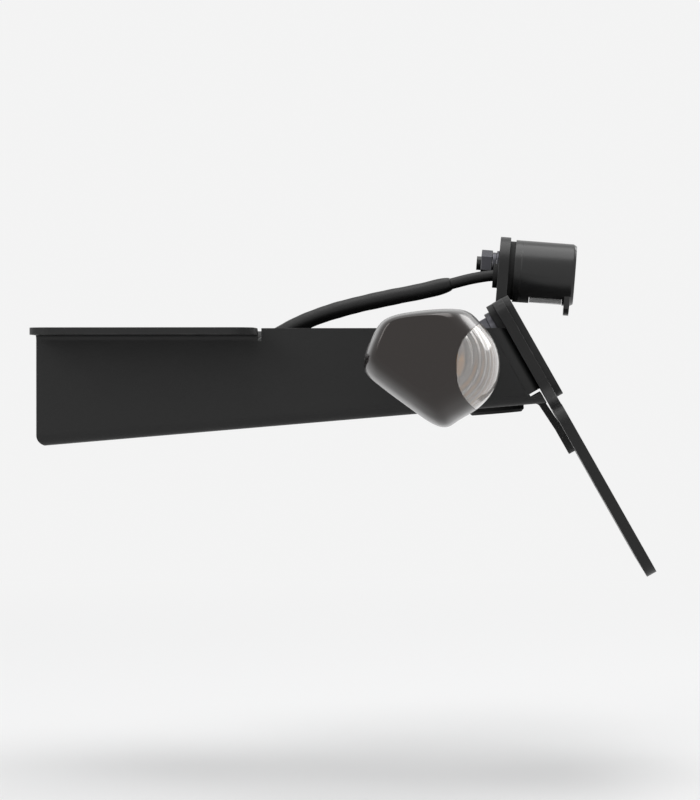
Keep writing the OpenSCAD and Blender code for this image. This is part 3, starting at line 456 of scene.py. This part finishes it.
lamp_enamel = finish(
    "lamp_enamel", linear(30), linear(110), 0.3, spread=0.06, tone=0.1, grain=900.0, bump=0.05,
    wear_and_highlight=0.3, Specular_IOR_Level=0.45)
dress("lamp_housing", lamp_enamel, SHEET_EDGE)
dress("lamp_base", lamp_enamel)
black_rubber = finish(
    "black_rubber", linear(24), linear(60), 0.72, spread=0.12, tone=0.15, grain=1500.0, bump=0.2,
    wear_and_highlight=0.3, worn_roughness=0.8, Specular_IOR_Level=0.3)
for node in ["lamp_gasket", "lead_grommet", "web_grommet"]:
    dress(node, black_rubber)
board_green = finish(
    "board_green", linear((46, 92, 58)), linear((150, 160, 120)), 0.3, grain=600.0, wear_and_highlight=0.3)
dress("lamp_led_board", board_green)
CLEAR_IOR = 1.49


def clear_material(name, color, roughness, transmission=1.0, **sockets):
    """Clear or milky plastic and glass; sockets are constant values of its shader."""
    material = bpy.data.materials.new(name)
    material.use_nodes = True
    nodes, links = material.node_tree.nodes, material.node_tree.links
    shader = nodes["Principled BSDF"]
    shader.inputs["Base Color"].default_value = color
    shader.inputs["Transmission Weight"].default_value = transmission
    shader.inputs["IOR"].default_value = CLEAR_IOR
    for label, value in sockets.items():
        shader.inputs[label.replace("_", " ")].default_value = value
    surface = nodes.new("ShaderNodeGroup")
    surface.node_tree = grain_tree
    surface.inputs["Scale"].default_value = 400.0
    surface.inputs["Roughness"].default_value = roughness
    surface.inputs["Spread"].default_value = 0.06
    links.new(surface.outputs["Roughness"], shader.inputs["Roughness"])
    relief = nodes.new("ShaderNodeBump")
    relief.inputs["Strength"].default_value = 0.02
    relief.inputs["Distance"].default_value = 0.0002
    links.new(surface.outputs["Height"], relief.inputs["Height"])
    links.new(relief.outputs["Normal"], shader.inputs["Normal"])
    return material


# The window's dark grey tint is painted shade: it stands in for the shade under the lamp, though
# the window itself is clear
dress("lamp_lens", clear_material("lamp_window_painted_shade", (0.16, 0.16, 0.16, 1), 0.15))

# Clip and connector of the lead: moulded in black nylon. The clip presses the sleeved lead to the
# channel's floor, and the connector at the lead's end holds two tinned brass pins.

black_nylon = finish(
    "black_nylon", linear(30), linear(62), 0.48, spread=0.15, tone=0.2, grain=1600.0, bump=0.16,
    wear_and_highlight=0.3, worn_roughness=0.5)
dress("lead_clip", black_nylon)
dress("lead_connector", black_nylon)
dress("connector_pins", finish(
    "tinned_brass", linear((205, 178, 110)), linear((235, 220, 170)), 0.25, metallic=1.0))

# Indicators: each a moulded housing, glossy brown-black, with a clear lens along its rear, a
# bright reflector and an amber bulb. A hollow stem and a ribbed rubber stalk carry it.

# Section seen from outside, X rearwards and Z up from the stalk's middle, in mm
SECTION = [
    (-18.2, 1), (-16.4, 6.8), (-12.8, 12.4), (-5, 14.6), (7, 15.1), (12, 11.6), (15.6, 6.4),
    (16.8, 0.6), (15.4, -5.4), (11.6, -10), (6.6, -13.2), (3, -15.2), (-1, -14),
    (-7, -9.8), (-13, -5.4), (-16.8, -2.2),
]
# Share of the length, scale of the section, shift rearwards and lift, in mm
STATIONS = [
    (0, 0.6, -0.5, 0), (0.07, 0.7, -0.4, 0), (0.2, 0.86, -0.2, 0), (0.38, 0.96, 0, 0),
    (0.56, 1, 0, 0), (0.78, 0.99, 0, 0.1), (0.88, 0.94, -0.3, 0.6), (0.94, 0.86, -0.9, 1.5),
    (0.98, 0.76, -1.6, 2.5), (1, 0.64, -2.4, 3.6),
]
STALK_X, STALK_Z = 0.083, -0.0116
HOUSING_Y, HOUSING_L = 0.060, 0.0699
STATION_STEPS = [6] * 6 + [4] * 3
END_DOME = 0.0007
DOME_RINGS = (1, 0.96, 0.88, 0.76, 0.62, 0.48, 0.34, 0.2, 0.08)
LOOP_STEPS = 8
# The seam lies SEAM_X behind the stalk's middle, and SEAM_BEND more at LENS_HALF_H above and below
SEAM_X = 0.0062
SEAM_BEND = 0.005
LENS_HALF_H = 0.0109
SEAM_POWER = 2.6
SEAM_HALF_GAP = 0.00006


def catmull(p0, p1, p2, p3, t):
    """Point at t of the smooth curve from p1 to p2."""
    return tuple(
        0.5 * (2 * b + (c - a) * t + (2 * a - 5 * b + 4 * c - d) * t * t
               + (3 * b - a - 3 * c + d) * t ** 3)
        for a, b, c, d in zip(p0, p1, p2, p3)
    )


def seam_shift(z):
    """How far the seam bends rearwards above and below the lens, so that the lens is an oval."""
    return SEAM_BEND * abs((z - STALK_Z) / LENS_HALF_H) ** SEAM_POWER


# Flutes on the lens's inside: upright ribs that spread the light, each FLUTE_RINGS of mesh wide
FLUTE_PITCH = 0.0022
FLUTE_DEPTH = 0.0005
FLUTE_RINGS = 6


def indicator_loft(name, side, keep_rear):
    """Fine skin of the housing's form, cut at the seam. side is -1 left, 1 right. The lens has
    rings that are close enough for its flutes."""
    n = len(SECTION)
    loop = [
        catmull(SECTION[k - 1], SECTION[k], SECTION[(k + 1) % n], SECTION[(k + 2) % n],
                j / LOOP_STEPS)
        for k in range(n) for j in range(LOOP_STEPS)
    ]
    rings = []
    for k in range(len(STATIONS) - 1):
        around = [STATIONS[max(0, min(len(STATIONS) - 1, k + d))] for d in (-1, 0, 1, 2)]
        steps = STATION_STEPS[k]
        if keep_rear:
            stretch = (STATIONS[k + 1][0] - STATIONS[k][0]) * HOUSING_L
            steps = max(steps, round(stretch * FLUTE_RINGS / FLUTE_PITCH))
        rings += [(*catmull(*around, j / steps), 0) for j in range(steps)]
    share, scale, shift, lift = STATIONS[-1]
    for q in DOME_RINGS:
        rings.append((share, scale * q, shift, lift, 1 - q * q))
    verts, faces = [], []
    for share, scale, shift, lift, dome in rings:
        y = HOUSING_Y + share * (HOUSING_L - END_DOME) + dome * END_DOME
        verts += [
            (STALK_X + (x * scale + shift) / 1000, side * y, STALK_Z + (z * scale + lift) / 1000)
            for x, z in loop
        ]
    m = len(loop)
    for i in range(len(rings) - 1):
        for k in range(m):
            a, b = i * m + k, i * m + (k + 1) % m
            faces.append((a, b, b + m, a + m))
    faces.append(tuple(range(m)))
    faces.append(tuple(range((len(rings) - 1) * m, len(rings) * m)))
    piece = new_piece(name, verts, faces)
    work = bmesh.new()
    work.from_mesh(piece.data)
    for v in work.verts:
        v.co.x -= seam_shift(v.co.z)
    half_gap = SEAM_HALF_GAP if keep_rear else -SEAM_HALF_GAP
    bmesh.ops.bisect_plane(
        work, geom=work.verts[:] + work.edges[:] + work.faces[:], dist=1e-7,
        plane_co=(STALK_X + SEAM_X + half_gap, 0, 0), plane_no=(1, 0, 0),
        clear_outer=not keep_rear, clear_inner=keep_rear)
    for v in work.verts:
        v.co.x += seam_shift(v.co.z)
    work.to_mesh(piece.data)
    work.free()
    return piece


HOUSING_WALL = 0.0018
LENS_WALL = 0.0022
MOULDED_EDGE = 0.0003


def walled(piece, wall):
    """Wall and broken edges for a skin."""
    shell = piece.modifiers.new("wall", "SOLIDIFY")
    shell.thickness = wall
    shell.offset = -1
    rounds = piece.modifiers.new("edges", "BEVEL")
    rounds.width = MOULDED_EDGE
    rounds.segments = 3
    rounds.limit_method = "ANGLE"
    rounds.angle_limit = radians(50)
    return piece


gloss_black = finish(
    "indicator_gloss", linear((20, 15, 13)), linear((60, 52, 48)), 0.24, spread=0.04, tone=0.1,
    grain=300.0, bump=0.01, wear_and_highlight=0.1, Specular_IOR_Level=0.5, Specular_Tint=(1, 0.92, 0.88, 1),
    Coat_Weight=0.25, Coat_Roughness=0.06)
indicator_clear = clear_material(
    "indicator_clear", (0.72, 0.7, 0.68, 1), 0.12, transmission=0.74, Coat_Weight=0.25,
    Coat_Roughness=0.06)
reflector_bright = finish(
    "reflector_bright", linear(232), linear(240), 0.14, spread=0.06, tone=0.1, grain=300.0,
    bump=0.03, wear_and_highlight=0.0, metallic=1.0)
bulb_amber = clear_material("bulb_amber", (0.95, 0.45, 0.06, 1), 0.12)
stalk_rubber = finish(
    "stalk_rubber", linear(36), linear(70), 0.6, spread=0.15, tone=0.3, grain=1500.0, bump=0.2,
    wear_and_highlight=0.3, worn_roughness=0.7)
zinc = finish(
    "zinc_plate", linear((190, 191, 194)), linear((225, 225, 223)), 0.3, spread=0.25, tone=0.2,
    grain=700.0, bump=0.06, wear_and_highlight=0.4, worn_roughness=0.2, metallic=1.0)

# The stem starts inside the channel, and its thread stops short of both ends
STEM_START = 0.018
STEM_LENGTH = 0.03
STEM_RADIUS = 0.00498
STEM_END_RADIUS = 0.0044
STEM_BORE = 0.00275
STEM_PITCH = 0.00125
INDICATOR_FASTENER_EDGE = 0.0002
for side, hand in [("left", -1), ("right", 1)]:
    housing = walled(indicator_loft(f"{side}_indicator_shell", hand, False), HOUSING_WALL)
    housing.data.materials.append(gloss_black)
    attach(housing, "root")
    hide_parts(f"{side}_indicator_housing")
    lens = walled(indicator_loft(f"{side}_indicator_clear", hand, True), LENS_WALL)
    ribs = lens.vertex_groups.new(name="ribs")
    for v in lens.data.vertices:
        ribs.add([v.index], 0.5 + 0.5 * cos(2 * pi * v.co.y / FLUTE_PITCH), "REPLACE")
    lens.modifiers["wall"].vertex_group = "ribs"
    lens.modifiers["wall"].thickness_vertex_group = 1 - FLUTE_DEPTH / LENS_WALL
    lens.data.materials.append(indicator_clear)
    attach(lens, "root")
    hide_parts(f"{side}_indicator_lens")
    dress(f"{side}_indicator_reflector", reflector_bright)
    dress(f"{side}_indicator_bulb", bulb_amber)
    dress(f"{side}_indicator_stalk", stalk_rubber)
    for node in ["washer", "nut"]:
        dress(f"{side}_indicator_{node}", zinc, INDICATOR_FASTENER_EDGE)
    stem_place = (Vector((STALK_X, hand * STEM_START, STALK_Z)), Vector((0, hand, 0)))
    stem = turned(
        f"{side}_stem_threaded", [stem_place],
        [(0, STEM_END_RADIUS), *thread(0.0004, 0.0296, STEM_RADIUS, STEM_PITCH),
         (STEM_LENGTH, STEM_END_RADIUS)], STEM_BORE)
    stem.data.materials.append(zinc)
    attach(stem, "root")
    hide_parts(f"{side}_indicator_stem")

# Studio: a pale floor below the part, which hangs from its mounting face, a pale surround and
# three soft lamps.

SURROUND = (0.9, 0.9, 0.9, 1)
FLOOR_BELOW = 0.06
FLOOR_HALF = 6
floor_z = cad_box[0][2] - FLOOR_BELOW
floor_corners = [
    (x * FLOOR_HALF, y * FLOOR_HALF, floor_z) for x, y in [(-1, -1), (1, -1), (1, 1), (-1, 1)]
]
floor = new_piece("floor", floor_corners, [(0, 1, 2, 3)], smooth=False)
floor_paint = bpy.data.materials.new("floor_pale")
floor_paint.use_nodes = True
floor_nodes, floor_links = floor_paint.node_tree.nodes, floor_paint.node_tree.links
floor_nodes["Principled BSDF"].inputs["Base Color"].default_value = (0.85, 0.85, 0.85, 1)
floor_nodes["Principled BSDF"].inputs["Roughness"].default_value = 0.9
floor_nodes["Principled BSDF"].inputs["Specular IOR Level"].default_value = 0.1
# From below the floor is clear, so that views of the underside aren't blocked
floor_back = floor_nodes.new("ShaderNodeNewGeometry")
floor_clear = floor_nodes.new("ShaderNodeBsdfTransparent")
floor_mix = floor_nodes.new("ShaderNodeMixShader")
floor_links.new(floor_back.outputs["Backfacing"], floor_mix.inputs["Fac"])
floor_links.new(floor_clear.outputs[0], floor_mix.inputs[2])
floor_links.new(floor_mix.outputs[0], floor_nodes["Material Output"].inputs["Surface"])


def seen_ray(nodes, links):
    """1 for rays of the camera, of reflections and through glass: all see the pale surround."""
    ray = nodes.new("ShaderNodeLightPath")
    total = ray.outputs["Is Camera Ray"]
    for kind in ["Is Glossy Ray", "Is Transmission Ray"]:
        step = nodes.new("ShaderNodeMath")
        step.operation = "MAXIMUM"
        links.new(total, step.inputs[0])
        links.new(ray.outputs[kind], step.inputs[1])
        total = step.outputs[0]
    return total


# The floor turns into the surround's colour with its distance from the part, so no edge shows
FLOOR_FADE = 0.9
floor_place = floor_nodes.new("ShaderNodeTexCoord")
floor_reach = floor_nodes.new("ShaderNodeVectorMath")
floor_reach.operation = "DISTANCE"
floor_links.new(floor_place.outputs["Object"], floor_reach.inputs[0])
floor_reach.inputs[1].default_value = (0.05, 0.0, floor_z)
floor_fade = floor_nodes.new("ShaderNodeMapRange")
floor_fade.interpolation_type = "SMOOTHSTEP"
floor_fade.inputs["From Max"].default_value = FLOOR_FADE
floor_fade.inputs["To Min"].default_value = 0.35
floor_links.new(floor_reach.outputs["Value"], floor_fade.inputs["Value"])
floor_share = floor_nodes.new("ShaderNodeMath")
floor_share.operation = "MULTIPLY"
floor_links.new(floor_fade.outputs["Result"], floor_share.inputs[0])
floor_links.new(seen_ray(floor_nodes, floor_links), floor_share.inputs[1])
floor_glow = floor_nodes.new("ShaderNodeEmission")
floor_glow.inputs["Color"].default_value = SURROUND
floor_blend = floor_nodes.new("ShaderNodeMixShader")
floor_links.new(floor_share.outputs[0], floor_blend.inputs["Fac"])
floor_links.new(floor_nodes["Principled BSDF"].outputs[0], floor_blend.inputs[1])
floor_links.new(floor_glow.outputs[0], floor_blend.inputs[2])
floor_links.new(floor_blend.outputs[0], floor_mix.inputs[1])
floor.data.materials.append(floor_paint)

world = bpy.data.worlds.new("surround")
world.use_nodes = True
bpy.context.scene.world = world
world_nodes, world_links = world.node_tree.nodes, world.node_tree.links
world_nodes["Background"].inputs["Color"].default_value = (0.86, 0.87, 0.88, 1)
world_nodes["Background"].inputs["Strength"].default_value = 0.45
shown = world_nodes.new("ShaderNodeBackground")
shown.inputs["Color"].default_value = SURROUND
shown.inputs["Strength"].default_value = 1.0
world_mix = world_nodes.new("ShaderNodeMixShader")
world_links.new(seen_ray(world_nodes, world_links), world_mix.inputs["Fac"])
world_links.new(world_nodes["Background"].outputs[0], world_mix.inputs[1])
world_links.new(shown.outputs[0], world_mix.inputs[2])
world_links.new(world_mix.outputs[0], world_nodes["World Output"].inputs["Surface"])


def soft_lamp(name, place, size, power):
    """Square or oblong lamp that faces the part."""
    data = bpy.data.lights.new(name, "AREA")
    data.shape = "RECTANGLE"
    data.size, data.size_y = size
    data.energy = power
    lamp = bpy.data.objects.new(name, data)
    lamp.location = place
    lamp.rotation_euler = (look_at - Vector(place)).to_track_quat("-Z", "Y").to_euler()
    bpy.context.scene.collection.objects.link(lamp)


soft_lamp("overhead", (0.1, -0.1, 1.2), (1.2, 1.2), 11.0)
soft_lamp("front_left", (-0.9, -1.0, 0.7), (0.8, 0.8), 6.0)
soft_lamp("rear_right", (1.0, 0.9, 0.6), (0.9, 0.7), 6.0)

bpy.context.scene.view_settings.view_transform = "Standard"
